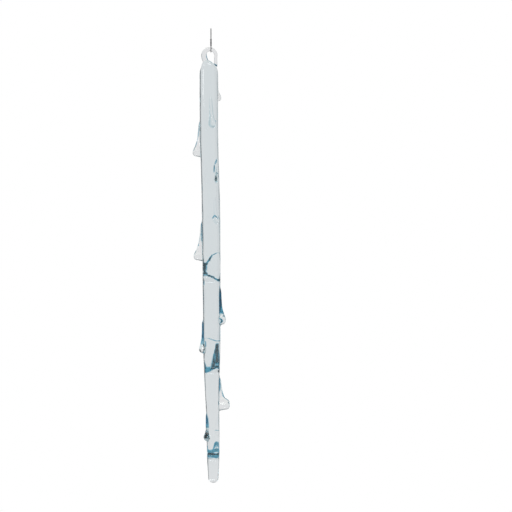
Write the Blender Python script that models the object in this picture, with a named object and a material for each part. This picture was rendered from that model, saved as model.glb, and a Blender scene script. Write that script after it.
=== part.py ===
"""Glass icicle ornament hanging on a twisted wire hanger.

A solid drawn glass rod hangs from a small glass ring.  Glass drips are trailed down its sides.
One soft wire makes the hanger: an eye to hang it by, a twisted stem, and a bight round the ring.
Metres, +Z up, +X to the right and -Y to the front.  The origin is the hang point, where a hook
bears on the inner top of the eye.
"""

import math

import bmesh
import bpy
import numpy as np
from mathutils import Vector

MM = 0.001

# Clearance that neighbouring solids keep.
GAP = 0.3 * MM

# The wire hanger.
WIRE_DIAMETER = 0.6 * MM
EYE_INNER_RADIUS = 3.1 * MM
STEM_LENGTH = 4.45 * MM
STEM_TURNS = 2.5
BIGHT_CLEARANCE = 0.35 * MM

# The glass ring, a bar that tapers along its length, thickest at its left foot.  It is an arc from
# its right end to its left one, in degrees from the right, with a leg down into the crown from each.
RING_RADIUS = 4.25 * MM
RING_BAR_RADIUS = 1.35 * MM
RING_LEFT_FOOT_RADIUS = 1.9 * MM
RING_RIGHT_FOOT_RADIUS = 1.1 * MM
RING_OFFSET = -0.8 * MM
RING_ABOVE_CROWN = 3.6 * MM
RING_LEG = 8.0 * MM
RING_RIGHT_END = -30
RING_LEFT_END = 180
RING_POINTS = 20

# The rod.  Its crown is a half ellipsoid and its tip a hemisphere.
ROD_LENGTH = 296.4 * MM
ROD_RADIUS = 6.15 * MM
CROWN_HEIGHT = 10.0 * MM
ROD_SIDES = 24

# Share of the rod's length, sideways drift of its centre in mm, and share of the rod's radius.
# The rod was drawn by hand, so it leans a little to the right on its way down and thins.
ROD_STATIONS = (
    (0.00, -1.45, 1.00),
    (0.12, -1.45, 1.00),
    (0.19, -1.20, 0.98),
    (0.33, -0.15, 0.99),
    (0.43, 0.28, 0.985),
    (0.57, 0.42, 0.94),
    (0.71, 0.65, 0.885),
    (0.74, 0.66, 0.83),
    (0.78, 0.75, 0.765),
    (0.84, 1.25, 0.685),
    (0.91, 1.54, 0.68),
    (0.95, 1.62, 0.63),
    (0.97, 1.64, 0.57),
    (1.00, 1.66, 0.48),
)

# Each drip: name; bearings of its tail and its blob round the rod in degrees (0 right, 90 front,
# 180 left, 270 back); where its tail starts and its blob ends as shares of the rod's length; the
# blob's radius in mm; how far the blob and the tail stand proud of the rod in mm; and how evenly it
# leans out, from 0 for a blob that stands off an upright tail to 1 for a straight slant.
DRIPS = (
    ("drip_01_right", -30, -35, 0.050, 0.096, 2.2, 4.2, 1.0, 0.4),
    ("drip_02_front", 80, 71, 0.083, 0.160, 2.7, 3.2, 1.0, 0.4),
    ("drip_03_left", 190, 197, 0.139, 0.228, 2.8, 6.6, 1.0, 0.42),
    ("drip_04_right", 38, 50, 0.234, 0.290, 2.0, 2.5, 1.0, 0.4),
    ("drip_05_front", 68, 56, 0.325, 0.386, 2.3, 2.9, 1.0, 0.4),
    ("drip_06_left", 178, 187, 0.379, 0.474, 2.8, 6.8, 1.2, 0.4),
    ("drip_07_back", 284, 268, 0.440, 0.527, 2.4, 2.2, 0.8, 0.4),
    ("drip_08_right", 16, 6, 0.535, 0.626, 3.4, 4.5, 1.2, 0.25),
    ("drip_09_left", 178, 163, 0.612, 0.693, 2.6, 3.7, 1.1, 0.25),
    ("drip_10_back", 284, 266, 0.652, 0.741, 2.7, 2.6, 0.9, 0.4),
    ("drip_11_right", 2, -6, 0.748, 0.828, 3.0, 8.1, 1.3, 0.35),
    ("drip_12_left", 160, 139, 0.834, 0.901, 2.8, 3.6, 1.0, 0.3),
    ("drip_13_back", 286, 268, 0.870, 0.947, 2.4, 2.4, 0.8, 0.4),
)
DRIP_TAIL_RADIUS = 0.95 * MM
DRIP_POINTS = 13
DRIP_END_POINTS = 4

# Heights that follow from the sizes above.
WIRE_RADIUS = WIRE_DIAMETER / 2
EYE_RADIUS = EYE_INNER_RADIUS + WIRE_RADIUS
EYE_CENTRE_Z = -EYE_INNER_RADIUS
STEM_TOP_Z = EYE_CENTRE_Z - EYE_RADIUS - WIRE_RADIUS - GAP
STEM_BOTTOM_Z = STEM_TOP_Z - STEM_LENGTH
FLEX_Z = STEM_BOTTOM_Z - GAP / 2
BIGHT_RADIUS = RING_BAR_RADIUS + BIGHT_CLEARANCE + WIRE_RADIUS
BIGHT_CENTRE_Z = STEM_BOTTOM_Z - GAP - WIRE_RADIUS - BIGHT_RADIUS
RING_CENTRE_Z = BIGHT_CENTRE_Z - math.sqrt(RING_RADIUS**2 - RING_OFFSET**2)
CROWN_Z = RING_CENTRE_Z - RING_ABOVE_CROWN

GLASS = ("soda_lime_glass", (0.80, 0.87, 0.90), 0.03, 0.0)
SILVERED_WIRE = ("silvered_wire", (0.42, 0.42, 0.43), 0.35, 1.0)


def smooth_table(table, column, share):
    """A table's column at a share of the rod's length, eased between its rows."""
    shares = [row[0] for row in table]
    values = [row[column] for row in table]
    slopes = np.gradient(values, shares)
    i = int(np.clip(np.searchsorted(shares, share) - 1, 0, len(table) - 2))
    width = shares[i + 1] - shares[i]
    t = float(np.clip((share - shares[i]) / width, 0.0, 1.0))
    start, end = values[i], values[i + 1]
    leave, arrive = slopes[i] * width, slopes[i + 1] * width
    return (
        start * (2 * t**3 - 3 * t**2 + 1)
        + leave * (t**3 - 2 * t**2 + t)
        + end * (3 * t**2 - 2 * t**3)
        + arrive * (t**3 - t**2)
    )


def rod_z(share):
    return CROWN_Z - share * ROD_LENGTH


def rod_centre(share):
    return Vector((smooth_table(ROD_STATIONS, 1, share) * MM, 0.0, rod_z(share)))


def rod_radius(share):
    """The rod's radius, rounded off by the crown above and by the tip below."""
    radius = ROD_RADIUS * smooth_table(ROD_STATIONS, 2, share)
    down = share * ROD_LENGTH
    if down < CROWN_HEIGHT:
        radius *= math.sqrt(max(0.0, 1 - (1 - down / CROWN_HEIGHT) ** 2))
    tip = ROD_RADIUS * ROD_STATIONS[-1][2]
    up = ROD_LENGTH - down
    if up < tip:
        radius *= math.sqrt(max(0.0, 1 - (1 - up / tip) ** 2))
    return radius


def rod_shares():
    """Shares of the length at which the rod is drawn: close together at its two round ends."""
    bends = [1 - math.cos(math.radians(a)) for a in range(10, 90, 16)]
    crown = [CROWN_HEIGHT / ROD_LENGTH * b for b in bends]
    tip = [1 - ROD_RADIUS * ROD_STATIONS[-1][2] / ROD_LENGTH * b for b in reversed(bends)]
    return crown + list(np.linspace(crown[-1] * 1.6, tip[0] - 0.006, 30)) + tip


def collection_named(name):
    made = bpy.data.collections.new(name)
    bpy.context.scene.collection.children.link(made)
    return made


def clear_scene():
    for obj in list(bpy.data.objects):
        bpy.data.objects.remove(obj)


def material(name, colour, roughness, metallic):
    made = bpy.data.materials.get(name)
    if made is None:
        made = bpy.data.materials.new(name)
        made.use_nodes = True
        shader = made.node_tree.nodes["Principled BSDF"]
        shader.inputs["Base Color"].default_value = (*colour, 1.0)
        shader.inputs["Roughness"].default_value = roughness
        shader.inputs["Metallic"].default_value = metallic
    return made


def tube(name, points, radii, sides, collection):
    """A curve object through points, with its own radius at each, and filled caps."""
    curve = bpy.data.curves.new(name, "CURVE")
    curve.dimensions = "3D"
    curve.bevel_depth = 1.0
    curve.bevel_resolution = (sides - 4) // 2
    curve.use_fill_caps = True
    spline = curve.splines.new("POLY")
    spline.points.add(len(points) - 1)
    for point, place, radius in zip(spline.points, points, radii):
        point.co = (*place, 1.0)
        point.radius = radius
    obj = bpy.data.objects.new(name, curve)
    collection.objects.link(obj)
    return obj


def as_mesh(obj):
    """The curve object remade as a mesh object with its caps welded on, so that it can be cut."""
    name = obj.name
    graph = bpy.context.evaluated_depsgraph_get()
    mesh = bpy.data.meshes.new_from_object(obj.evaluated_get(graph))
    shape = bmesh.new()
    shape.from_mesh(mesh)
    bmesh.ops.remove_doubles(shape, verts=shape.verts, dist=0.01 * MM)
    bmesh.ops.recalc_face_normals(shape, faces=shape.faces)
    shape.to_mesh(mesh)
    shape.free()
    made = bpy.data.objects.new(name + "_mesh", mesh)
    made.matrix_world = obj.matrix_world
    for collection in obj.users_collection:
        collection.objects.link(made)
    bpy.data.objects.remove(obj)
    made.name = name
    return made


def finish(obj, finish_values, parent=None):
    obj.data.materials.clear()
    obj.data.materials.append(material(*finish_values))
    if obj.type == "MESH":
        obj.data.shade_smooth()
    if parent is not None:
        obj.parent = parent
        obj.matrix_parent_inverse = parent.matrix_world.inverted()
    return obj


def boolean(obj, other, operation):
    modifier = obj.modifiers.new(operation.title(), "BOOLEAN")
    modifier.operation = operation
    modifier.object = other
    modifier.solver = "EXACT"
    return modifier


def helper(obj):
    obj.hide_render = True
    obj.display_type = "WIRE"
    return obj


def pivot(name, place, parts):
    """An empty on a joint's axis, which carries a moving body."""
    empty = bpy.data.objects.new(name, None)
    empty.location = place
    parts.objects.link(empty)
    bpy.context.view_layer.update()
    return empty


def wire_hoop(name, radius, centre_z, segments, parts):
    """A hoop of the wire in the Y-Z plane, edge on from the front."""
    bpy.ops.mesh.primitive_torus_add(
        major_radius=radius,
        minor_radius=WIRE_RADIUS,
        major_segments=segments,
        minor_segments=8,
        location=(0.0, 0.0, centre_z),
        rotation=(0.0, math.pi / 2, 0.0),
    )
    hoop = bpy.context.object
    hoop.name = name
    for collection in list(hoop.users_collection):
        collection.objects.unlink(hoop)
    parts.objects.link(hoop)
    return hoop


def stem_strand(name, phase, collection):
    """One of the two strands twisted together to make the stem."""
    # The strands bite into each other a little, so that their union is one body.
    lay_radius = WIRE_RADIUS * 0.8
    steps = int(STEM_TURNS * 16)
    points = []
    for i in range(steps + 1):
        turn = phase + 2 * math.pi * STEM_TURNS * i / steps
        z = STEM_TOP_Z - STEM_LENGTH * i / steps
        points.append((lay_radius * math.cos(turn), lay_radius * math.sin(turn), z))
    return as_mesh(tube(name, points, [WIRE_RADIUS] * len(points), 8, collection))


def wire_stem(parts, cutters):
    stem = stem_strand("hanger_stem", 0.0, parts)
    other = helper(stem_strand("stem_second_strand", math.pi, cutters))
    boolean(stem, other, "UNION")
    return stem


def end_slope(share):
    """1 at the top of the crown, 0 along the rod and -1 at the end of the tip."""
    down = share * ROD_LENGTH
    up = ROD_LENGTH - down
    tip = ROD_RADIUS * ROD_STATIONS[-1][2]
    return max(0.0, 1 - down / CROWN_HEIGHT) - max(0.0, 1 - up / tip)


def rod_tube(name, extra, collection):
    """The rod, or the rod grown all over by extra."""
    shares = rod_shares()
    points = [rod_centre(share) + Vector((0, 0, extra * end_slope(share))) for share in shares]
    radii = [rod_radius(share) + extra for share in shares]
    return tube(name, points, radii, ROD_SIDES, collection)


def ring_path():
    """The ring's bar from its right foot, over the top, to its left foot: places and radii."""
    centre = Vector((RING_OFFSET, 0.0, RING_CENTRE_Z))
    ends = (RING_RIGHT_END, 90, RING_LEFT_END)
    thickness = (RING_RIGHT_FOOT_RADIUS, RING_BAR_RADIUS, RING_LEFT_FOOT_RADIUS)
    right_x = RING_RADIUS * math.cos(math.radians(RING_RIGHT_END))
    left_x = RING_RADIUS * math.cos(math.radians(RING_LEFT_END))
    right_leg = [centre + Vector((right_x, 0.0, -RING_LEG * share)) for share in (1.0, 0.65)]
    left_leg = [centre + Vector((left_x, 0.0, -RING_LEG * share)) for share in (0.3, 0.65, 1.0)]
    arc, arc_radii = [], []
    for angle in np.linspace(RING_RIGHT_END, RING_LEFT_END, RING_POINTS):
        turn = math.radians(angle)
        arc.append(centre + RING_RADIUS * Vector((math.cos(turn), 0.0, math.sin(turn))))
        arc_radii.append(float(np.interp(angle, ends, thickness)))
    radii = [RING_RIGHT_FOOT_RADIUS] * 2 + arc_radii + [RING_LEFT_FOOT_RADIUS] * 3
    return right_leg + arc + left_leg, radii


def drip_path(tail_bearing, blob_bearing, start, end, blob_radius, proud, tail_proud, lean):
    """A drip's centre line and radii: a slim tail leans out and swells into a blob with a round end."""
    blob_share = end - blob_radius / ROD_LENGTH
    places, radii = [], []
    for t in np.linspace(0.0, 1.0, DRIP_POINTS):
        turn = math.radians(tail_bearing + (blob_bearing - tail_bearing) * t)
        outward = Vector((math.cos(turn), -math.sin(turn), 0.0))
        share = start + (blob_share - start) * t
        radius = DRIP_TAIL_RADIUS + (blob_radius - DRIP_TAIL_RADIUS) * t**3
        radius *= 0.6 if t == 0 else 1.0
        stand = tail_proud + (proud - tail_proud) * (lean * t + (1 - lean) * t**6)
        places.append(rod_centre(share) + outward * (rod_radius(share) + stand - radius))
        radii.append(radius)
    last = places[-1].copy()
    for angle in np.linspace(90 / DRIP_END_POINTS, 84, DRIP_END_POINTS):
        bend = math.radians(angle)
        places.append(last - Vector((0, 0, blob_radius * math.sin(bend))))
        radii.append(blob_radius * math.cos(bend))
    return places, radii


def build_hanger(parts, cutters):
    eye = wire_hoop("hanger_eye", EYE_RADIUS, EYE_CENTRE_Z, 32, parts)
    finish(eye, SILVERED_WIRE)
    finish(wire_stem(parts, cutters), SILVERED_WIRE)
    flex = pivot("side_flex_axis", (0.0, 0.0, FLEX_Z), parts)
    bight = wire_hoop("hanger_bight", BIGHT_RADIUS, BIGHT_CENTRE_Z, 24, parts)
    bpy.context.view_layer.update()
    finish(bight, SILVERED_WIRE, flex)
    return flex


def build_icicle(parts, cutters, flex):
    swing = pivot("swing_axis", (0.0, 0.0, BIGHT_CENTRE_Z), parts)
    swing.parent = flex
    swing.matrix_parent_inverse = flex.matrix_world.inverted()
    bpy.context.view_layer.update()
    seat = helper(as_mesh(rod_tube("rod_seat", GAP, cutters)))
    finish(as_mesh(rod_tube("glass_rod", 0.0, parts)), GLASS, swing)
    ring = as_mesh(tube("glass_ring", *ring_path(), 12, parts))
    boolean(ring, seat, "DIFFERENCE")
    finish(ring, GLASS, swing)
    for name, tail_bearing, blob_bearing, start, end, blob, proud, tail_proud, lean in DRIPS:
        sizes = (blob * MM, proud * MM, tail_proud * MM)
        path = drip_path(tail_bearing, blob_bearing, start, end, *sizes, lean)
        drip = as_mesh(tube(name, *path, 10, parts))
        boolean(drip, seat, "DIFFERENCE")
        finish(drip, GLASS, swing)


def main():
    clear_scene()
    parts = collection_named("icicle_ornament")
    cutters = collection_named("cutters")
    flex = build_hanger(parts, cutters)
    build_icicle(parts, cutters, flex)
    bpy.context.view_layer.update()


main()
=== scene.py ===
"""Looks of a glass icicle ornament that hangs from a twisted wire hanger.

All the glass is one skin: a drawn rod whose radius is swelled by trailed drips, joined to a ring.
Metres, +Z up, -Y to the front.  The origin is the point that the ornament hangs from.
"""

import math

import bpy
import numpy as np
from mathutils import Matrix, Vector


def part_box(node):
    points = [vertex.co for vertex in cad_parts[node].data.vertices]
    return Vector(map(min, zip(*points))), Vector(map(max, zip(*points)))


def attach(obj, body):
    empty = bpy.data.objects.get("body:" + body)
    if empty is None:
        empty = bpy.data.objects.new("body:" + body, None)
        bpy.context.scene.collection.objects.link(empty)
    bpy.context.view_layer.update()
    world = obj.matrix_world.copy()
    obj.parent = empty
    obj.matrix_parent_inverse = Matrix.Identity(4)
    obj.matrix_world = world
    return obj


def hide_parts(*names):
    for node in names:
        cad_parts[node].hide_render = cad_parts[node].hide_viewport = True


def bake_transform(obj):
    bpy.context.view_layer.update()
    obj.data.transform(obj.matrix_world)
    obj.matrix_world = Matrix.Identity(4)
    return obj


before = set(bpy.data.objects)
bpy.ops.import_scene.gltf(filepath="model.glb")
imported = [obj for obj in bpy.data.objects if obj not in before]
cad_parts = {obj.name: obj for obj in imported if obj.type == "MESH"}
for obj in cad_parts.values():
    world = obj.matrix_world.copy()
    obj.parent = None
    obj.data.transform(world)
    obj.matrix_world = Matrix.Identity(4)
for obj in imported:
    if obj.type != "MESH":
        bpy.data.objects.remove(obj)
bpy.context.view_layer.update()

MM = 0.001

# Camera: it looks along +Y, level, at a point to the right of and below the hang point.
VIEW_WIDTH = 359.2 * MM
VIEW_CENTRE = (31.6 * MM, -159.2 * MM)
CAMERA_DISTANCE = 1.6
SENSOR = 36.0

# The rod's grid: sectors round it, closest together at the back, which the rod enlarges like a lens,
# and rows down it, closest together where the skin is steep or has streaks of painted shade in it.
SECTORS = 144
BACK_DENSITY = 2.5
BACK_WIDTH = 0.3
TURN_STEPS = 3600
BODY_ROWS = 590
STEEP_ROWS = 3
STREAK_ROWS = 1
BACK_STREAK_ROWS = 4
BACK_REACH = 30
STREAK_MARGIN = 1.0 * MM

# How the CAD's rod is read: rings of at least this many corners, with gaps of more than this between.
ROD_SIDES = 24
RING_GAP = 1.0 * MM

# The crown is a half ellipse from the front.  Its top leans to the left, and its two powers say how
# square its ridge is: seen from the side, and at the corners of its cross section.
CROWN_ROWS = 26
CROWN_HEIGHT = 10.0 * MM
CROWN_LEAN = 1.3 * MM
CROWN_LEAN_DEPTH = 5.0 * MM
CROWN_RIDGE = 5
CROWN_CORNER = 6
CROWN_LEAST = 0.01 * MM
CROWN_LEAST_SHARE = 0.001

# The tip is a half ball, and the CAD's rings this near to its end are left out of the profile.
TIP_ROWS = 20
TIP_CLEAR = 3.2 * MM

# Where a CAD drip is read: shares of its length, how much of it counts at each, and how deep the outer
# skin is that gives its bearing.
DRIP_LEVELS = np.linspace(0.08, 0.86, 9)
LEVEL_REACH = 0.075
OUTER_SKIN = 0.5 * MM

# A drip's chain of balls: the tail's radius, how the balls grow into the blob, and how the first ones
# start thinner and closer in, over a share of the length.
DRIP_BALLS = 46
TAIL_RADIUS = 0.95 * MM
TAPER = 0.2
BLOB_POWER = 7
START_SHARE = 0.2
START_WIDTH = 0.35
START_LEAN = 0.25
DRIP_MARGIN = 1.0 * MM

# A sunken drip's swell: the shares of its length over which it rises and falls, and its half width
# round the rod in radians.
SWELL_RISE = (0.0, 0.45)
SWELL_FALL = (0.8, 1.06)
SWELL_WIDTH = 0.8

# The fine field in which the drips melt into the rod: its steps, the fillet of the smooth maximum, the
# bell curve's width and its reach in such widths, the passes of averaging round the rod, the share of
# the full half width from which rows are melted, and the slopes between which the skin is steep.
FIELD_STEP = 0.1 * MM
FIELD_SECTORS = 360
FILLET = 0.7 * MM
MELT_WIDTH = 0.3 * MM
MELT_REACH = 3
MELT_PASSES = 19
BODY_SHARE = 0.999
STEEP = (0.35, 1.2)
STEEPEST = 3
LEAST_RADIUS = 1.0 * MM

# The skin's ripple.  Each wave: its share, its length down the rod over 2 pi, how many go round the rod
# and its phase.
RIPPLE = 0.035 * MM
RIPPLE_WAVES = ((1.0, 7.3 * MM, 2, 0.7), (0.8, 3.1 * MM, -3, 2.1), (0.6, 13.0 * MM, 5, 4.0))

# The ring's bar: its arc runs from its right end, in degrees from the right, over the top to the left.
RING_RADIUS = 4.25 * MM
RING_TOP_BAR = 1.35 * MM
RING_LEFT_FOOT = 1.9 * MM
RING_RIGHT_FOOT = 1.1 * MM
RING_RIGHT_END = -12
RING_LEFT_END = 180
RING_LEG = 8.0 * MM
RING_LEG_CLEAR = 0.5 * MM
RING_ARC_POINTS = 110
RING_LEG_POINTS = 14
RING_STEPS = 170
RING_EASING = 24
RING_SIDES = 28

# The ring's left end, as it sinks into the crown: places in mm from the crown's top (x from the hang
# point) and radii in mm.
LEFT_END = (
    (-4.9, 0.0, 3.6), (-4.55, 0.0, 1.6), (-3.7, 0.0, -0.4), (-2.4, 0.0, -2.4), (-1.2, 0.0, -4.5),
)
LEFT_END_RADII = (1.95, 2.0, 1.9, 1.6, 1.3)
LEFT_END_POINTS = 60

# The wire: how far the twisted strands stand from the stem's axis as a share of their radius, the turns
# of the twist, and the gap in degrees, to each side, where a hoop opens into the stem.
STRAND_RADIUS = 0.3 * MM
STRAND_LAY = 0.98
STEM_TURNS = 2.5
STEM_POINTS = 120
STEM_TRIM = 2
EYE_GAP = 16
EYE_POINTS = 110
BIGHT_GAP = 24
BIGHT_POINTS = 90
WIRE_STEP = 0.16 * MM
WIRE_EASING = 3
WIRE_SIDES = 14

# The drips were trailed from a rod of darker aqua glass, which thins out into the clear blob.  For a
# dark body: how dark, to which share of the drip's length, and how far out from the clear rod in mm.
DARK_BODIES = {
    "drip_03_left": (0.35, 0.3, 0.6),
    "drip_06_left": (0.5, 0.5, 0.7),
    "drip_08_right": (0.74, 0.7, 9.0),
    "drip_09_left": (0.5, 0.74, 9.0),
    "drip_11_right": (0.5, 0.42, 0.9),
    "drip_12_left": (0.5, 0.52, 9.0),
}

# Where a body's dark glass starts, how far before and past its end share it fades, both in shares of
# the drip's length, and over how many mm its sides and its outer limit fade.
BODY_START = (-0.02, 0.06)
BODY_END_FADE = (-0.03, 0.05)
BODY_SIDE_FADE = 0.8 * MM
BODY_OUT_FADE = 0.5

# How dark the painted shade is in the crease where a drip meets the clear rod, where it starts and
# ends along the drip, and how far it reaches to each side as a share of the drip's half width.
PAINTED_CREASE_SHADE = {"drip_02_front": 0.2, "drip_04_right": 0.15, "drip_05_front": 0.1}
CREASE_START = (-0.04, 0.04)
CREASE_END = (1.15, 1.25)
CREASE_REACH = 1.8
CREASE_FADE = 1.0 * MM

# The half width of a drip's dark glass and of the painted shade in its crease: at its start, along its
# tail, and where the tail and the blob open out as shares of the drip's length.
START_HALF = 0.3 * MM
TAIL_HALF = 1.2 * MM
TAIL_OPENS = (-0.02, 0.2)
BLOB_OPENS = (0.72, 0.85)

# Streaks of painted shade in the skin, dark aqua lines painted where refraction through the rod
# darkens the drips' outlines: the depths below the hang point of their two ends in mm, their bearings
# there in degrees (0 right, 90 back, 180 left, 270 front), half width in mm and how dark they are.
PAINTED_SHADE_STREAKS = (
    (64.3, 66.2, 316, 316, 0.4, 0.9),
    (65.0, 83.5, 174, 168, 0.22, 0.9),
    (91.1, 95.3, 324, 302, 0.42, 0.9),
    (95.3, 100.9, 302, 296, 0.42, 0.9),
    (100.6, 102.4, 296, 336, 0.45, 0.9),
    (102.3, 106.6, 336, 344, 0.4, 0.85),
    (110.4, 113.2, 206, 206, 0.5, 0.85),
    (130.7, 133.0, 292, 279, 0.35, 0.8),
    (130.7, 133.2, 292, 305, 0.35, 0.9),
    (131.2, 134.0, 320, 340, 0.45, 0.8),
    (142.0, 153.0, 180, 177, 0.25, 0.9),
    (157.0, 158.8, 81, 91, 0.25, 0.8),
    (158.4, 164.0, 91, 97, 0.22, 1.0),
    (163.4, 168.0, 97, 104, 0.4, 1.0),
    (165.0, 171.5, 103, 104, 0.8, 1.0),
    (170.6, 173.6, 104, 98, 0.6, 0.45),
    (168.5, 172.4, 103, 96, 0.35, 1.0),
    (172.0, 175.4, 96, 86, 0.32, 1.0),
    (175.0, 177.6, 87, 73, 0.35, 0.95),
    (176.5, 179.6, 215, 215, 0.45, 0.8),
    (200.5, 205.5, -2, 2, 0.35, 0.85),
    (202.5, 206.5, 331, 336, 0.4, 0.9),
    (216.6, 219.6, 103, 73, 0.35, 0.6),
    (218.5, 223.0, 225, 226, 0.5, 0.8),
    (220.5, 237.0, 80, 84.5, 0.4, 1.0),
    (219.0, 238.5, 73, 76, 0.5, 1.0),
    (226.0, 238.0, 84, 92, 0.45, 0.95),
    (224.0, 239.0, 84, 91, 0.2, 1.0),
    (231.0, 238.0, 78, 80, 0.3, 0.95),
    (230.0, 240.0, 87, 94, 0.25, 0.9),
    (236.6, 241.0, 92, 103, 0.8, 0.6),
    (238.0, 241.6, 104, 107, 0.8, 1.0),
    (235.8, 239.0, 86, 92, 0.55, 0.95),
    (253.5, 260.0, -3, 2, 0.22, 0.8),
    (260.6, 263.8, 335, 336, 0.5, 0.9),
    (281.6, 282.6, 84, 72, 0.4, 0.6),
    (283.5, 294.0, 73, 78, 0.65, 1.0),
    (286.0, 294.5, 79, 85, 0.25, 0.9),
    (289.0, 295.0, 85, 91, 0.2, 0.7),
    (294.0, 297.5, 78, 98, 1.1, 0.75),
    (296.0, 299.8, 98, 105, 0.8, 0.6),
    (296.0, 299.5, 80, 75, 0.8, 0.5),
    (296.8, 301.2, 101, 80, 1.2, 0.74),
    (297.0, 299.4, 97, 88, 0.7, 1.0),
    (298.5, 301.6, 84, 103, 0.9, 0.4),
)

# The ends of a streak of painted shade fade over this many mm and taper by a power, and its sides fade
# between two shares of its half width.
STREAK_FADE = 0.8
STREAK_TAPER = 0.7
STREAK_TAPER_POWER = 4
STREAK_SIDES = (0.6, 1.3)

# Painted shade along the outlines: a dark line down the ring's inner left edge and just inside the crown's
# right shoulder, in x and z in mm from the crown's top, with its half width in mm and how dark it is.
PAINTED_OUTLINE = (
    (-3.0, 4.4), (-2.75, 2.4), (-2.0, 0.4), (-1.2, -0.3), (-0.4, -0.75), (0.86, -1.5), (2.66, -2.75),
    (3.5, -3.5),
)
PAINTED_OUTLINE_WIDTH = 0.26
PAINTED_OUTLINE_DARK = 0.9

# The studio: how bright it is behind, at its flags, overhead and as it lights the floor; where the
# flags rise and fall, in degrees from the back to the right; and the heights where the ceiling starts.
BACK_LIGHT = 0.765
RIGHT_FLAG = 0.10
LEFT_FLAG = 0.45
CEILING = 0.28
FLOOR_LIGHT = 0.9
RIGHT_BAND = (46, 54, 98, 110)
LEFT_BAND = (-90, -78, -56, -48)
CEILING_RISE = (0.55, 0.8)

# The floor's height, how far it reaches to the front and right, and how far behind and to the left, in
# metres, and the corners along each side of its grid.
FLOOR_LEVEL = -0.9
FLOOR_FAR = 20.0
FLOOR_NEAR = 3.0
FLOOR_CELLS = 40

# Soft boxes: place, where they aim, width and height, and power in watts.
SOFTBOXES = (
    ("key_softbox", (-0.95, -0.33, 0.05), (0, 0, -0.03), (0.30, 0.07), 0.18),
    ("front_softbox", (0.3, -2.2, 1.4), (0, 0, -0.15), (1.2, 0.8), 12.0),
)

# How often a ray may pass through the glass, or off it, before it stops.
GLASS_BOUNCES = 32
GLOSSY_BOUNCES = 16

# A direction that no swept path starts along.
OFF_PATH = (0.0, 0.31, 0.95)


# ---------------------------------------------------------------- small helpers

def srgb(text, alpha=1.0):
    """Linear colour, with alpha, of an sRGB hex string."""
    parts = [int(text[i:i + 2], 16) / 255 for i in (0, 2, 4)]
    lin = [p / 12.92 if p <= 0.04045 else ((p + 0.055) / 1.055) ** 2.4 for p in parts]
    return (*lin, alpha)


def eased(x, xs, ys):
    """Cubic through the points xs, ys at x, with slopes taken from the neighbours."""
    xs, ys = np.asarray(xs, float), np.asarray(ys, float)
    slopes = np.gradient(ys, xs)
    i = np.clip(np.searchsorted(xs, x) - 1, 0, len(xs) - 2)
    w = xs[i + 1] - xs[i]
    t = np.clip((x - xs[i]) / w, 0, 1)
    return (
        ys[i] * (2 * t**3 - 3 * t**2 + 1) + slopes[i] * w * (t**3 - 2 * t**2 + t)
        + ys[i + 1] * (3 * t**2 - 2 * t**3) + slopes[i + 1] * w * (t**3 - t**2)
    )


def smoothstep(x, low, high):
    """0 below low, 1 above high and an S curve, 3 t^2 - 2 t^3, between them."""
    t = np.clip((x - low) / (high - low), 0, 1)
    return t * t * (3 - 2 * t)


def between(x, rise, fall):
    """1 between two places: it climbs over the pair of places in rise and drops over those in fall."""
    return smoothstep(x, *rise) * (1 - smoothstep(x, *fall))


def angle_between(a, b):
    """The turn from b to a in radians, between -pi and pi."""
    return np.angle(np.exp(1j * (a - b)))


def cad_points(node):
    """The different corners of a CAD node, as rows of x, y, z."""
    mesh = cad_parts[node].data
    points = np.empty(len(mesh.vertices) * 3, np.float32)
    mesh.vertices.foreach_get("co", points)
    return np.unique(np.round(points.reshape(-1, 3).astype(float), 7), axis=0)


def mesh_object(name, points, faces):
    """A smooth mesh object at the origin from corner rows and face lists."""
    mesh = bpy.data.meshes.new(name)
    mesh.from_pydata(points.tolist(), [], faces)
    mesh.update()
    mesh.shade_smooth()
    obj = bpy.data.objects.new(name, mesh)
    bpy.context.scene.collection.objects.link(obj)
    return obj


def grid_faces(rows, sectors, first=0):
    """Quads between neighbouring rows of a grid that closes round each row."""
    i, j = np.meshgrid(np.arange(rows - 1) * sectors, np.arange(sectors), indexing="ij")
    k = (j + 1) % sectors
    quads = np.stack([i + j, i + sectors + j, i + sectors + k, i + k], -1)
    return (quads.reshape(-1, 4) + first).tolist()


def sweep(path, radii, sides, closed=False):
    """Corners and faces of a round bar along a path: each ring of corners stands square to the path.

    The ring's first direction is carried along so that the bar doesn't twist.  An open bar gets a
    fan on each end.
    """
    path = np.asarray(path, float)
    n = len(path)
    if closed:
        tangent = np.roll(path, -1, 0) - np.roll(path, 1, 0)
    else:
        tangent = np.gradient(path, axis=0)
    tangent /= np.linalg.norm(tangent, axis=1, keepdims=True)
    side = np.empty_like(path)
    start = np.cross(tangent[0], OFF_PATH)
    side[0] = start / np.linalg.norm(start)
    for i in range(1, n):
        flat = side[i - 1] - tangent[i] * (side[i - 1] @ tangent[i])
        side[i] = flat / np.linalg.norm(flat)
    if closed:
        # Share out the turn that is left over where the path meets itself.
        last = side[-1] - tangent[0] * (side[-1] @ tangent[0])
        last /= np.linalg.norm(last)
        left = math.atan2(np.cross(last, side[0]) @ tangent[0], last @ side[0])
        turn = left * np.arange(n) / n
        other = np.cross(tangent, side)
        side = side * np.cos(turn)[:, None] + other * np.sin(turn)[:, None]
    other = np.cross(tangent, side)
    a = np.linspace(0, 2 * np.pi, sides, endpoint=False)
    rings = path[:, None] + np.asarray(radii)[:, None, None] * (
        side[:, None] * np.cos(a)[None, :, None] + other[:, None] * np.sin(a)[None, :, None])
    points = rings.reshape(-1, 3)
    faces = [f[::-1] for f in grid_faces(n, sides)]
    if closed:
        j = np.arange(sides)
        k = (j + 1) % sides
        base = (n - 1) * sides
        faces += np.stack([base + j, base + k, k, j], -1).tolist()
    else:
        points = np.vstack([points, path[0], path[-1]])
        first, last = n * sides, n * sides + 1
        base = (n - 1) * sides
        for j in range(sides):
            k = (j + 1) % sides
            faces.append([first, k, j])
            faces.append([last, base + j, base + k])
    return points, faces


# ---------------------------------------------------------------- camera

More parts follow.
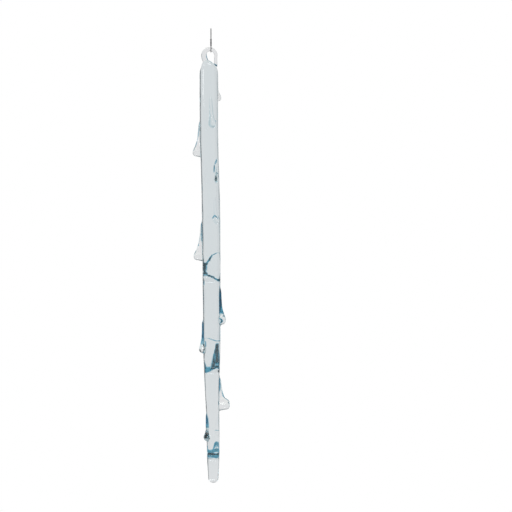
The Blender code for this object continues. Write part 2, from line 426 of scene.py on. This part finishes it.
def make_camera():
    data = bpy.data.cameras.new("camera")
    data.sensor_width = SENSOR
    data.lens = SENSOR / VIEW_WIDTH * CAMERA_DISTANCE
    data.clip_start = 0.05
    data.clip_end = 60.0
    obj = bpy.data.objects.new("camera", data)
    obj.location = (VIEW_CENTRE[0], -CAMERA_DISTANCE, VIEW_CENTRE[1])
    obj.rotation_euler = (math.pi / 2, 0.0, 0.0)
    bpy.context.scene.collection.objects.link(obj)
    bpy.context.scene.camera = obj


# ---------------------------------------------------------------- glass

def rod_profile():
    """Heights, centres and radii along the rod, read from the rings of its CAD corners, lowest first."""
    points = cad_points("glass_rod")
    points = points[np.argsort(points[:, 2])]
    breaks = np.where(np.diff(points[:, 2]) > RING_GAP)[0] + 1
    rings = [r for r in np.split(points, breaks) if len(r) >= ROD_SIDES and np.ptp(r[:, 2]) < RING_GAP]
    left = np.array([r[:, 0].min() for r in rings])
    right = np.array([r[:, 0].max() for r in rings])
    return np.array([r[:, 2].mean() for r in rings]), (left + right) / 2, (right - left) / 2


class PlainRod:
    """The rod without its drips, read from the rings of its CAD corners."""

    def __init__(self):
        levels, centres, radii = rod_profile()
        low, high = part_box("glass_rod")
        self.top, self.bottom, self.length = high.z, low.z, high.z - low.z
        keep = (levels < self.top - CROWN_HEIGHT) & (levels > self.bottom + TIP_CLEAR)
        self.levels, self.centres, self.radii = levels[keep], centres[keep], radii[keep]
        self.tip_radius = self.radii[0]

    def along(self, z, values):
        """Values kept at the rings' levels, eased to any heights."""
        return eased(np.clip(z, self.levels[0], self.levels[-1]), self.levels, values)

    def middle(self, z):
        """The x of the rod's middle at a height."""
        return self.along(z, self.centres)

    def ends(self, depth):
        """The half width as a share of the full one: 1 on the body, falling to 0 at crown and tip."""
        tip = np.clip(1 - (1 - np.clip((self.length - depth) / self.tip_radius, 0, 1)) ** 2, 0, 1) ** 0.5
        return crown_share(depth, 2) * tip

    def radius(self, depth):
        """The rod's half width at a depth below its top."""
        return self.along(self.top - depth, self.radii) * self.ends(depth)


def crown_share(depth, power):
    """The crown's half width as a share of the rod's: 1 - (1 - depth / height)^power, rooted."""
    return np.clip(1 - (1 - np.clip(depth / CROWN_HEIGHT, 0, 1)) ** power, 0, 1) ** (1 / power)


def drip_facts(name, rod):
    """A CAD drip read at even heights: how far it reaches, which way it points and how wide it is."""
    points = cad_points(name)
    x = points[:, 0] - rod.middle(points[:, 2])
    y = points[:, 1]
    reach = np.hypot(x, y)
    top, bottom = points[:, 2].max(), points[:, 2].min()
    share = (top - points[:, 2]) / (top - bottom)
    bearings, reaches = [], []
    for level in DRIP_LEVELS:
        near = np.abs(share - level) < LEVEL_REACH
        far = near & (reach > reach[near].max() - OUTER_SKIN)
        turn = math.atan2(y[far].mean(), x[far].mean())
        bearings.append(turn)
        reaches.append(reach[near].max())
    across = (-x * math.sin(turn) + y * math.cos(turn))[near]
    return {
        "name": name, "top": top, "bottom": bottom, "bearings": np.unwrap(bearings),
        "reaches": np.array(reaches), "blob": (across.max() - across.min()) / 2,
    }


def share_down(drip, z):
    """A height as a share of the way down a drip."""
    return (drip["top"] - z) / (drip["top"] - drip["bottom"])


def drip_field(drip, theta, z, rod_radius):
    """How far a drip reaches from the rod's axis, for each height z (rows) and direction theta.

    The drip is a chain of balls.  From its top they lean out and slowly grow; the last is the blob.
    A ray from the axis leaves a ball of radius r, centred at distance c and height b, at
    c cos(d) + sqrt(r^2 - (z - b)^2 - (c sin(d))^2), where d is the angle between them.  On
    the back the drips have sunk in: each is a swell whose cross section is a bell curve.
    """
    if drip["name"].endswith("back"):
        share = share_down(drip, z)
        bearing = np.interp(share, DRIP_LEVELS, drip["bearings"])
        turn = angle_between(theta[None], bearing[:, None])
        outer = np.interp(share, DRIP_LEVELS, drip["reaches"]) - rod_radius
        rise = outer * between(share, SWELL_RISE, SWELL_FALL)
        return rod_radius[:, None] + rise[:, None] * np.exp(-(turn / SWELL_WIDTH) ** 2)
    rows = np.where((z < drip["top"] + DRIP_MARGIN) & (z > drip["bottom"] - DRIP_MARGIN))[0]
    here = z[rows][:, None]
    length = drip["top"] - drip["bottom"]
    best = np.zeros((len(rows), len(theta)))
    last = 1 - drip["blob"] / length
    for s in np.linspace(0, last, DRIP_BALLS):
        run = s / last
        level = drip["top"] - length * s
        bearing = np.interp(s, DRIP_LEVELS, drip["bearings"])
        turn = angle_between(theta, bearing)[None, :]
        r = TAIL_RADIUS + (drip["blob"] - TAIL_RADIUS) * (TAPER * run + (1 - TAPER) * run**BLOB_POWER)
        r *= START_WIDTH + (1 - START_WIDTH) * min(1.0, run / START_SHARE)
        rod = np.interp(-level, -z, rod_radius)
        outer = np.interp(s, DRIP_LEVELS, drip["reaches"])
        c = rod + (outer - rod) * min(1.0, START_LEAN + run / START_SHARE) - r
        inside = r**2 - (here - level) ** 2 - (c * np.sin(turn)) ** 2
        hit = (inside > 0) & (np.cos(turn) > 0)
        reach = np.where(hit, c * np.cos(turn) + np.sqrt(np.maximum(inside, 0)), 0)
        best = np.maximum(best, reach)
    field = np.zeros((len(z), len(theta)))
    field[rows] = best
    return field


def body_darkness(drip, share, aside, half, out):
    """How dark a drip's body is, from its share down, its distance aside, half width and mm out."""
    dark, end, limit = DARK_BODIES[drip["name"]]
    along = between(share, BODY_START, (end + BODY_END_FADE[0], end + BODY_END_FADE[1]))
    across = 1 - smoothstep(aside, half, half + BODY_SIDE_FADE)
    inner = 1 - smoothstep(out, limit, limit + BODY_OUT_FADE)
    return dark * along * across * inner


def painted_crease_shade(drip, share, aside, half, steep):
    """Painted shade in the crease round a drip: how dark it is, wherever the skin is steep."""
    across = 1 - smoothstep(aside, half * CREASE_REACH, half * CREASE_REACH + CREASE_FADE)
    return PAINTED_CREASE_SHADE[drip["name"]] * steep * between(share, CREASE_START, CREASE_END) * across


def painted_streak_shade(streak, depth, theta, reach):
    """How dark one streak of painted shade is, at depths and distances from the axis in mm."""
    top, bottom, start, end, half, dark = streak
    share = (depth - top) / (bottom - top)
    bearing = np.radians(start + (end - start) * np.clip(share, 0, 1))
    aside = np.abs(angle_between(theta, bearing)) * reach
    fade = STREAK_FADE / (bottom - top)
    along = between(share, (-fade, fade), (1 - fade, 1 + fade))
    wide = half * (1 - STREAK_TAPER * np.abs(2 * share - 1).clip(0, 1) ** STREAK_TAPER_POWER)
    return dark * along * (1 - smoothstep(aside, wide * STREAK_SIDES[0], wide * STREAK_SIDES[1]))


def painted_outline_shade(flat):
    """How dark the painted outline shade is at places in x and z, in mm from the crown's top."""
    dark = np.zeros(len(flat))
    for start, end in zip(PAINTED_OUTLINE[:-1], PAINTED_OUTLINE[1:]):
        run = np.subtract(end, start)
        share = np.clip((flat - start) @ run / (run @ run), 0, 1)
        off = np.linalg.norm(flat - start - share[:, None] * run, axis=1)
        dark = np.maximum(dark, 1 - smoothstep(off, PAINTED_OUTLINE_WIDTH, PAINTED_OUTLINE_WIDTH * 2))
    return PAINTED_OUTLINE_DARK * dark


def aqua_and_painted_shade(points, drips, rod, steepness):
    """0 to 1 for each corner: the darkest of the drips' dark glass bodies, the painted shade in their
    creases, the painted shade streaks and the painted outline shade.
    """
    x = points[:, 0] - rod.middle(points[:, 2])
    theta = np.arctan2(points[:, 1], x)
    reach = np.hypot(x, points[:, 1])
    depth = rod.top - points[:, 2]
    steep = read_field(steepness, depth, theta)
    out = (reach - rod.radius(depth)) / MM
    # Painted shade: a dark line along the ring's inner left edge and the crown's right shoulder.
    amount = painted_outline_shade(np.stack([points[:, 0], -depth], -1) / MM)
    for drip in drips:
        share = share_down(drip, points[:, 2])
        bearing = np.interp(share, DRIP_LEVELS, drip["bearings"])
        aside = np.abs(angle_between(theta, bearing)) * reach
        half = (START_HALF + TAIL_HALF * smoothstep(share, *TAIL_OPENS)
                + (drip["blob"] - TAIL_HALF) * smoothstep(share, *BLOB_OPENS))
        if drip["name"] in DARK_BODIES:
            amount = np.maximum(amount, body_darkness(drip, share, aside, half, out))
        # Painted shade: the creases round some drips are darkened where the skin is steep.
        if drip["name"] in PAINTED_CREASE_SHADE:
            amount = np.maximum(amount, painted_crease_shade(drip, share, aside, half, steep))
    # Painted shade: dark streaks where refraction through the rod darkens the drips' outlines.
    for streak in PAINTED_SHADE_STREAKS:
        amount = np.maximum(amount, painted_streak_shade(streak, -points[:, 2] / MM, theta, reach / MM))
    return amount


def rod_rows(rod, depth, busy):
    """Depths of the grid's rows: close together on the round ends and wherever busy is high."""
    crown = CROWN_HEIGHT * (1 - np.cos(np.linspace(0, np.pi / 2, CROWN_ROWS, endpoint=False)))
    body = (depth > CROWN_HEIGHT) & (depth < rod.length - rod.tip_radius)
    total = np.cumsum(busy[body])
    total = (total - total[0]) / (total[-1] - total[0])
    middle = np.interp(np.linspace(0, 1, BODY_ROWS), total, depth[body])
    tip = rod.length - rod.tip_radius * (1 - np.sin(np.linspace(0, np.pi / 2, TIP_ROWS + 1)[1:]))
    return np.concatenate([crown, middle, tip])


def round_turns():
    """The grid's directions: closest together at the back."""
    fine = np.linspace(0, 2 * np.pi, TURN_STEPS)
    weight = 1 + BACK_DENSITY * np.exp(-((angle_between(fine, np.pi / 2) / BACK_WIDTH) ** 2))
    total = np.concatenate([[0], np.cumsum(weight[:-1])])
    return np.interp(np.linspace(0, total[-1], SECTORS, endpoint=False), total, fine)


def blurred(field):
    """The field eased by a bell curve down its rows, and by passes of averaging round them."""
    reach = int(MELT_REACH * MELT_WIDTH / FIELD_STEP)
    bell = np.exp(-((np.arange(-reach, reach + 1) * FIELD_STEP / MELT_WIDTH) ** 2) / 2)
    padded = np.pad(field, ((reach, reach), (0, 0)), "edge")
    soft = sum(w * padded[k:k + len(field)] for k, w in enumerate(bell)) / bell.sum()
    for _ in range(MELT_PASSES):
        soft = (np.roll(soft, 1, 1) + np.roll(soft, -1, 1)) / 4 + soft / 2
    return soft


def read_field(field, depth, turn):
    """The field's value at any depth and direction, taken in proportion from the four nearest cells."""
    row = np.clip(depth / FIELD_STEP, 0, len(field) - 1.001)
    column = np.mod(turn, 2 * np.pi) / (2 * np.pi) * FIELD_SECTORS
    i, j = row.astype(int), column.astype(int) % FIELD_SECTORS
    u, v = row - i, column - column.astype(int)
    k = (j + 1) % FIELD_SECTORS
    upper = field[i, j] * (1 - v) + field[i, k] * v
    lower = field[i + 1, j] * (1 - v) + field[i + 1, k] * v
    return upper * (1 - u) + lower * u


def melted_drips(rod, drips):
    """On the fine field: depths, the skin's height over the plain rod, its steepness, and busyness.

    Each drip swells the rod to its reach by a smooth maximum, and a bell curve melts it in.  Busy is
    how close together the grid's rows should be.
    """
    theta = np.linspace(0, 2 * np.pi, FIELD_SECTORS, endpoint=False)
    depth = np.arange(0, rod.length, FIELD_STEP)
    base = rod.radius(depth)
    body = (rod.ends(depth) > BODY_SHARE)[:, None]
    field = np.repeat(base[:, None], FIELD_SECTORS, 1)
    for drip in drips:
        reach = drip_field(drip, theta, rod.top - depth, base)
        h = np.clip(0.5 + 0.5 * (reach - field) / FILLET, 0, 1)
        field = reach * h + field * (1 - h) + FILLET * h * (1 - h) * (reach > 0)
    field = np.where(body, blurred(field), field)
    down = np.gradient(field, FIELD_STEP, axis=0)
    arc = field.clip(LEAST_RADIUS) * (4 * np.pi / FIELD_SECTORS)
    sideways = (np.roll(field, -1, 1) - np.roll(field, 1, 1)) / arc
    steepness = smoothstep(np.hypot(down, sideways), *STEEP) * body
    busy = 1 + STEEP_ROWS * np.abs(down).max(1).clip(0, STEEPEST)
    for top, bottom, start, *_ in PAINTED_SHADE_STREAKS:
        half = (bottom - top) / 2 * MM + STREAK_MARGIN
        near = np.abs(depth - rod.top - (top + bottom) / 2 * MM) < half
        busy += near * (BACK_STREAK_ROWS if abs(start - 90) < BACK_REACH else STREAK_ROWS)
    return depth, field - base[:, None], steepness, busy


def crown_ridge(along, depth, theta):
    """The crown's reach.  It is rounded when seen from the front, and a ridge from front to back:
    1 / reach^c is 1 / across^c + |cos a|^c (1 / along^c - 1 / across^c), with its half widths along X
    and across.
    """
    along = along.clip(CROWN_LEAST)
    across = along / crown_share(depth, 2).clip(CROWN_LEAST_SHARE) * crown_share(depth, CROWN_RIDGE)
    across = np.maximum(across, along)
    wide, deep = along[:, None] ** -CROWN_CORNER, across[:, None] ** -CROWN_CORNER
    return (deep + np.abs(np.cos(theta)) ** CROWN_CORNER * (wide - deep)) ** (-1 / CROWN_CORNER)


def ripple(z, theta):
    """The skin's ripple: the sum of share sin(z / length + waves a + phase) over its waves."""
    return RIPPLE * sum(
        share * np.sin(z[:, None] / length + around * theta[None] + phase)
        for share, length, around, phase in RIPPLE_WAVES)


def glass_rod(rod, drips):
    """The rod with its drips as one closed grid, and the field of its steepness.

    A corner stands at (x(z) + R cos a, R sin a, z).  R is the rod's radius or the crown's ridge, with
    the melted drips and the ripple on it.
    """
    field_depth, bumps, steepness, busy = melted_drips(rod, drips)
    depth = rod_rows(rod, field_depth, busy)
    z = rod.top - depth
    radius, ends = rod.radius(depth), rod.ends(depth)
    theta = round_turns()
    bumps = read_field(bumps, depth[:, None], theta[None])
    crown = depth < CROWN_HEIGHT
    reach = np.repeat(radius[:, None], SECTORS, 1)
    reach[crown] = crown_ridge(radius[crown], depth[crown], theta)
    reach += (bumps + ripple(z, theta)) * ends[:, None]
    x = rod.middle(z) - CROWN_LEAN * (1 - smoothstep(depth, 0, CROWN_LEAN_DEPTH))
    heights = np.repeat(z[:, None], SECTORS, 1)
    grid = np.stack([x[:, None] + reach * np.cos(theta), reach * np.sin(theta), heights], -1)
    points = np.vstack([grid[1:-1].reshape(-1, 3), (x[0], 0, rod.top), (x[-1], 0, rod.bottom)])
    rows = len(z) - 2
    faces = grid_faces(rows, SECTORS)
    top, bottom, last = rows * SECTORS, rows * SECTORS + 1, (rows - 1) * SECTORS
    for j in range(SECTORS):
        k = (j + 1) % SECTORS
        faces.append([top, j, k])
        faces.append([bottom, last + k, last + j])
    return mesh_object("glass_icicle", points, faces), steepness


def glass_ring(rod):
    """The ring's bar: a right leg, an arc whose thickness tapers from left to right, and a left end.

    The thick end comes down on the left and bends into the crown.  Averaging eases the whole path.
    """
    low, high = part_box("glass_ring")
    centre_z = high.z - RING_TOP_BAR - RING_RADIUS
    centre_x = low.x + RING_LEFT_FOOT + RING_RADIUS
    a = np.radians(np.linspace(RING_RIGHT_END, RING_LEFT_END, RING_ARC_POINTS))
    arc = np.stack([centre_x + RING_RADIUS * np.cos(a), 0 * a, centre_z + RING_RADIUS * np.sin(a)], -1)
    arc_radii = np.interp(
        np.degrees(a), (RING_RIGHT_END, 90, RING_LEFT_END), (RING_RIGHT_FOOT, RING_TOP_BAR, RING_LEFT_FOOT))
    drop = np.linspace(RING_LEG, RING_LEG_CLEAR - RING_RADIUS * np.sin(a[0]), RING_LEG_POINTS)
    right_leg = np.stack([arc[0, 0] + 0 * drop, 0 * drop, centre_z - drop], -1)
    marks = np.array(LEFT_END) * MM + (0, 0, rod.top)
    steps = np.arange(len(marks))
    along = np.linspace(0, steps[-1], LEFT_END_POINTS)
    left_end = np.stack([eased(along, steps, marks[:, i]) for i in range(3)], -1)
    left_radii = eased(along, steps, np.array(LEFT_END_RADII) * MM)
    path = np.vstack([right_leg, arc[:-1], left_end])
    radii = np.concatenate([np.full(RING_LEG_POINTS, RING_RIGHT_FOOT), arc_radii[:-1], left_radii])
    run = np.concatenate([[0], np.cumsum(np.linalg.norm(np.diff(path, axis=0), axis=1))])
    even = np.linspace(0, run[-1], RING_STEPS)
    bar = np.stack([np.interp(even, run, values) for values in (*path.T, radii)], -1)
    for _ in range(RING_EASING):
        bar[1:-1] = bar[1:-1] / 2 + (bar[:-2] + bar[2:]) / 4
    points, faces = sweep(bar[:, :3], bar[:, 3], RING_SIDES)
    return mesh_object("glass_ring_bar", points, faces)


def joined_glass():
    """The rod and the ring as one closed skin, by an exact union."""
    rod = PlainRod()
    drips = [drip_facts(name, rod) for name in sorted(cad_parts) if name.startswith("drip_")]
    glass, steepness = glass_rod(rod, drips)
    ring = glass_ring(rod)
    union = glass.modifiers.new("union", "BOOLEAN")
    union.operation = "UNION"
    union.solver = "EXACT"
    union.object = ring
    graph = bpy.context.evaluated_depsgraph_get()
    mesh = bpy.data.meshes.new_from_object(glass.evaluated_get(graph))
    glass.modifiers.clear()
    glass.data = mesh
    mesh.shade_smooth()
    bpy.data.objects.remove(ring)
    corners = np.empty(len(mesh.vertices) * 3, np.float32)
    mesh.vertices.foreach_get("co", corners)
    amount = aqua_and_painted_shade(corners.reshape(-1, 3).astype(float), drips, rod, steepness)
    # The aqua attribute holds both the darker aqua glass and the painted shade.
    mesh.attributes.new("aqua", "FLOAT", "POINT").data.foreach_set("value", amount.astype(np.float32))
    return glass


# ---------------------------------------------------------------- wire

def resampled_loop(path, step, passes):
    """A closed path at even steps, its corners eased by a few passes of averaging."""
    for _ in range(passes):
        path = path / 2 + (np.roll(path, 1, 0) + np.roll(path, -1, 0)) / 4
    closed = np.vstack([path, path[:1]])
    run = np.concatenate([[0], np.cumsum(np.linalg.norm(np.diff(closed, axis=0), axis=1))])
    count = int(run[-1] / step)
    at = np.linspace(0, run[-1], count, endpoint=False)
    return np.stack([np.interp(at, run, closed[:, i]) for i in range(3)], -1)


def open_hoop(box, gap, points, top):
    """A hoop in the Y-Z plane that fills a CAD box, open by the gap to each side of its top or foot."""
    low, high = box
    radius = (high.z - low.z) / 2 - STRAND_RADIUS
    start = np.pi / 2 if top else -np.pi / 2
    gap = math.radians(gap)
    a = np.linspace(start + gap, start + 2 * np.pi - gap, points)
    return np.stack([0 * a, radius * np.cos(a), (high.z + low.z) / 2 + radius * np.sin(a)], -1)


def hanger_wire():
    """The hanger: eye hoop, two strands twisted on each other, and the bight hoop, as one closed wire.

    On the stem the strands go round its axis, half a turn apart.  The eye runs from its back foot over
    its top to its front foot, where the strand that goes down begins.
    """
    stem_low, stem_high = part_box("hanger_stem")
    t = np.linspace(0, 1, STEM_POINTS)
    phase = np.pi / 2 + 2 * np.pi * STEM_TURNS * t
    lay = STRAND_RADIUS * STRAND_LAY
    z = stem_high.z + (stem_low.z - stem_high.z) * t
    up = np.stack([lay * np.cos(phase), lay * np.sin(phase), z], -1)
    down = up * (-1, -1, 1)
    eye = open_hoop(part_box("hanger_eye"), EYE_GAP, EYE_POINTS, top=False)
    bight = open_hoop(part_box("hanger_bight"), BIGHT_GAP, BIGHT_POINTS, top=True)
    if down[-1, 1] > 0:
        bight = bight[::-1]
    trim = slice(STEM_TRIM, -STEM_TRIM)
    path = resampled_loop(np.vstack([eye, down[trim], bight, up[trim][::-1]]), WIRE_STEP, WIRE_EASING)
    points, faces = sweep(path, np.full(len(path), STRAND_RADIUS), WIRE_SIDES, closed=True)
    return mesh_object("hanger_wire", points, faces)


# ---------------------------------------------------------------- materials

def node(tree, kind, settings=(), **links):
    """Adds a node.  Settings are attribute values, and links give an input its source or its value.

    A link is called i0, i1 and so on, or by the input's name with underscores for spaces.
    """
    made = tree.nodes.new(kind)
    for key, value in dict(settings).items():
        setattr(made, key, value)
    for key, value in links.items():
        numbered = key[0] == "i" and key[1:].isdigit()
        socket = made.inputs[int(key[1:]) if numbered else key.replace("_", " ")]
        if isinstance(value, bpy.types.NodeSocket):
            tree.links.new(value, socket)
        else:
            socket.default_value = value
    return made


def new_material(name):
    made = bpy.data.materials.new(name)
    made.use_nodes = True
    return made, made.node_tree, made.node_tree.nodes["Principled BSDF"]


def flame_worked_glass():
    """Pale aqua soda-lime glass, flame worked, with darker aqua glass drawn through it.

    The body colour is a true absorption in the depth of the glass.  The darker glass is a tint on the
    skin, and so is the painted shade of creases, streaks and outlines; both are driven by the mesh's
    aqua attribute and broken up by noise that is stretched along the draw.
    """
    made, tree, shader = new_material("flame_worked_aqua_glass")
    # The aqua attribute carries both the darker aqua glass and the painted shade.
    amount = node(tree, "ShaderNodeAttribute", {"attribute_name": "aqua"})
    shader.inputs["Transmission Weight"].default_value = 1.0
    shader.inputs["Roughness"].default_value = 0.0
    shader.inputs["IOR"].default_value = 1.51
    place = node(tree, "ShaderNodeTexCoord")
    # Draw lines: the glass was pulled along Z, so the texture is stretched that way (1.2 mm by 24 mm).
    pulled = node(tree, "ShaderNodeMapping", i0=place.outputs["Object"], Scale=(830, 830, 42))
    lines = node(tree, "ShaderNodeTexNoise", Vector=pulled.outputs[0], Scale=1.0, Detail=2.0)
    bump = node(tree, "ShaderNodeBump", Height=lines.outputs["Fac"], Strength=0.12, Distance=0.0003)
    tree.links.new(bump.outputs[0], shader.inputs["Normal"])
    # Streaky noise, about 0.4 mm wide and 8 mm long, drawn out along the drips: it breaks up the darker
    # aqua glass and the painted shade alike.
    streaks = node(tree, "ShaderNodeMapping", i0=place.outputs["Object"], Scale=(2600, 2600, 120))
    streak = node(tree, "ShaderNodeTexNoise", Vector=streaks.outputs[0], Scale=1.0, Detail=2.0, Distortion=0.3)
    depth = node(tree, "ShaderNodeMapRange", Value=streak.outputs["Fac"],
                 From_Min=0.36, From_Max=0.52, To_Min=0.72, To_Max=1.0)
    dark = node(tree, "ShaderNodeMath", {"operation": "MULTIPLY"},
                i0=amount.outputs["Fac"], i1=depth.outputs[0])
    # The ramp runs from clear to near black; its dark end serves the darker aqua glass and the painted
    # shade.
    tint = node(tree, "ShaderNodeValToRGB", Fac=dark.outputs[0])
    tint.color_ramp.elements[0].color = srgb("ffffff")
    tint.color_ramp.elements[1].color = srgb("030f16")
    for stop, colour in ((0.25, "a5ccd6"), (0.5, "1f80ac"), (0.86, "04141c")):
        tint.color_ramp.elements.new(stop).color = srgb(colour)
    tree.links.new(tint.outputs[0], shader.inputs["Base Color"])
    out = next(n for n in tree.nodes if n.type == "OUTPUT_MATERIAL")
    absorb = node(tree, "ShaderNodeVolumeAbsorption", Color=(0.30, 0.615, 0.685, 1), Density=20.0)
    tree.links.new(absorb.outputs[0], out.inputs["Volume"])
    return made


def silvered_copper_wire():
    """Silver-plated craft wire, drawn through a die: grey and satin, with a fine grain of 0.4 mm."""
    made, tree, shader = new_material("silver_plated_drawn_wire")
    shader.inputs["Metallic"].default_value = 1.0
    place = node(tree, "ShaderNodeTexCoord")
    grain = node(tree, "ShaderNodeTexNoise", Vector=place.outputs["Object"], Scale=2400.0, Detail=3.0)
    ramp = node(tree, "ShaderNodeValToRGB", Fac=grain.outputs["Fac"])
    ramp.color_ramp.elements[0].color = srgb("5e5f61")
    ramp.color_ramp.elements[1].color = srgb("9a9b9d")
    tree.links.new(ramp.outputs[0], shader.inputs["Base Color"])
    rough = node(tree, "ShaderNodeMapRange", Value=grain.outputs["Fac"], To_Min=0.28, To_Max=0.5)
    tree.links.new(rough.outputs[0], shader.inputs["Roughness"])
    bump = node(tree, "ShaderNodeBump", Height=grain.outputs["Fac"], Strength=0.3, Distance=0.00002)
    tree.links.new(bump.outputs[0], shader.inputs["Normal"])
    return made


def matte_floor():
    """Matt white paper, with a faint cloudiness 30 mm across."""
    made, tree, shader = new_material("matte_white_floor_paper")
    place = node(tree, "ShaderNodeTexCoord")
    fibre = node(tree, "ShaderNodeTexNoise", Vector=place.outputs["Object"], Scale=30.0, Detail=4.0)
    ramp = node(tree, "ShaderNodeValToRGB", Fac=fibre.outputs["Fac"])
    ramp.color_ramp.elements[0].color = srgb("f1f1f0")
    ramp.color_ramp.elements[1].color = srgb("f6f6f5")
    tree.links.new(ramp.outputs[0], shader.inputs["Base Color"])
    shader.inputs["Roughness"].default_value = 0.9
    return made


# ---------------------------------------------------------------- stage

def tinted(level, green=1.05, blue=1.08):
    """A grey of some brightness with a slight tint."""
    return (level, level * green, level * blue, 1)


def mixed(tree, factor, base, over):
    """A node's colour output: base, with another colour over it by a factor."""
    mix = node(tree, "ShaderNodeMix", {"data_type": "RGBA"}, i0=factor, i6=base, i7=over)
    return mix.outputs[2]


def band(tree, azimuth, low, full, fade, end):
    """1 between two azimuths, in degrees, with soft edges."""
    smooth = {"interpolation_type": "SMOOTHSTEP"}
    rise = node(tree, "ShaderNodeMapRange", smooth, Value=azimuth,
                From_Min=math.radians(low), From_Max=math.radians(full))
    fall = node(tree, "ShaderNodeMapRange", smooth, Value=azimuth,
                From_Min=math.radians(fade), From_Max=math.radians(end), To_Min=1.0, To_Max=0.0)
    both = node(tree, "ShaderNodeMath", {"operation": "MULTIPLY"}, i0=rise.outputs[0], i1=fall.outputs[0])
    return both.outputs[0]


def make_world():
    """A white studio: white behind what is seen directly, and flagged where it is seen by way of glass.

    A flag to each side draws the glass's edges, and a grey ceiling draws the blobs' upper edges.
    """
    world = bpy.data.worlds.new("studio")
    bpy.context.scene.world = world
    world.use_nodes = True
    tree = world.node_tree
    tree.nodes.clear()
    place = node(tree, "ShaderNodeTexCoord")
    axes = node(tree, "ShaderNodeSeparateXYZ", i0=place.outputs["Generated"])
    azimuth = node(tree, "ShaderNodeMath", {"operation": "ARCTAN2"}, i0=axes.outputs[0], i1=axes.outputs[1])
    right = band(tree, azimuth.outputs[0], *RIGHT_BAND)
    left = band(tree, azimuth.outputs[0], *LEFT_BAND)
    high = node(tree, "ShaderNodeMapRange", {"interpolation_type": "SMOOTHSTEP"}, Value=axes.outputs[2],
                From_Min=CEILING_RISE[0], From_Max=CEILING_RISE[1])
    seen = node(tree, "ShaderNodeLightPath")
    back = (BACK_LIGHT * 1.01, BACK_LIGHT, BACK_LIGHT * 1.01, 1)
    colour = mixed(tree, right, back, tinted(RIGHT_FLAG, 1.1, 1.15))
    colour = mixed(tree, left, colour, tinted(LEFT_FLAG))
    colour = mixed(tree, high.outputs[0], colour, tinted(CEILING))
    colour = mixed(tree, seen.outputs["Is Camera Ray"], colour, (1, 1, 1, 1))
    colour = mixed(tree, seen.outputs["Is Diffuse Ray"], colour, tinted(FLOOR_LIGHT, 1, 1))
    light = node(tree, "ShaderNodeBackground", Color=colour, Strength=1.0)
    out = node(tree, "ShaderNodeOutputWorld")
    tree.links.new(light.outputs[0], out.inputs["Surface"])


def make_floor():
    """A flat sheet of paper, a grid of corners at even steps.

    It runs far out to the front and right, and stops short behind and to the left, so that a level
    view along +Y or -X looks over its edge.
    """
    u = np.linspace(-FLOOR_FAR, FLOOR_NEAR, FLOOR_CELLS)
    n = FLOOR_CELLS
    x, y = np.meshgrid(-u[::-1], u, indexing="ij")
    points = np.stack([x, y, np.full_like(x, FLOOR_LEVEL)], -1).reshape(-1, 3)
    i, j = np.meshgrid(np.arange(n - 1), np.arange(n - 1), indexing="ij")
    corner = i * n + j
    quads = np.stack([corner, corner + n, corner + n + 1, corner + 1], -1)
    floor = mesh_object("studio_floor", points, quads.reshape(-1, 4).tolist())
    floor.data.materials.append(matte_floor())


def make_lights():
    for name, place, aim, size, power in SOFTBOXES:
        data = bpy.data.lights.new(name, "AREA")
        data.shape = "RECTANGLE"
        data.size, data.size_y = size
        data.energy = power
        obj = bpy.data.objects.new(name, data)
        obj.location = place
        aim_at = [a - p for a, p in zip(aim, place)]
        obj.rotation_euler = Vector(aim_at).to_track_quat("-Z", "Y").to_euler()
        bpy.context.scene.collection.objects.link(obj)


# ---------------------------------------------------------------- build

def main():
    make_camera()
    make_world()
    make_floor()
    make_lights()
    scene = bpy.context.scene
    scene.view_settings.view_transform = "Standard"
    scene.cycles.max_bounces = GLASS_BOUNCES
    scene.cycles.transmission_bounces = GLASS_BOUNCES
    scene.cycles.glossy_bounces = GLOSSY_BOUNCES
    glass = joined_glass()
    glass.data.materials.clear()
    glass.data.materials.append(flame_worked_glass())
    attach(glass, "icicle")
    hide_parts("glass_rod", "glass_ring", *[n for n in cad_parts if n.startswith("drip_")])
    wire = hanger_wire()
    wire.data.materials.append(silvered_copper_wire())
    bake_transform(wire)
    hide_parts("hanger_eye", "hanger_stem", "hanger_bight")


main()
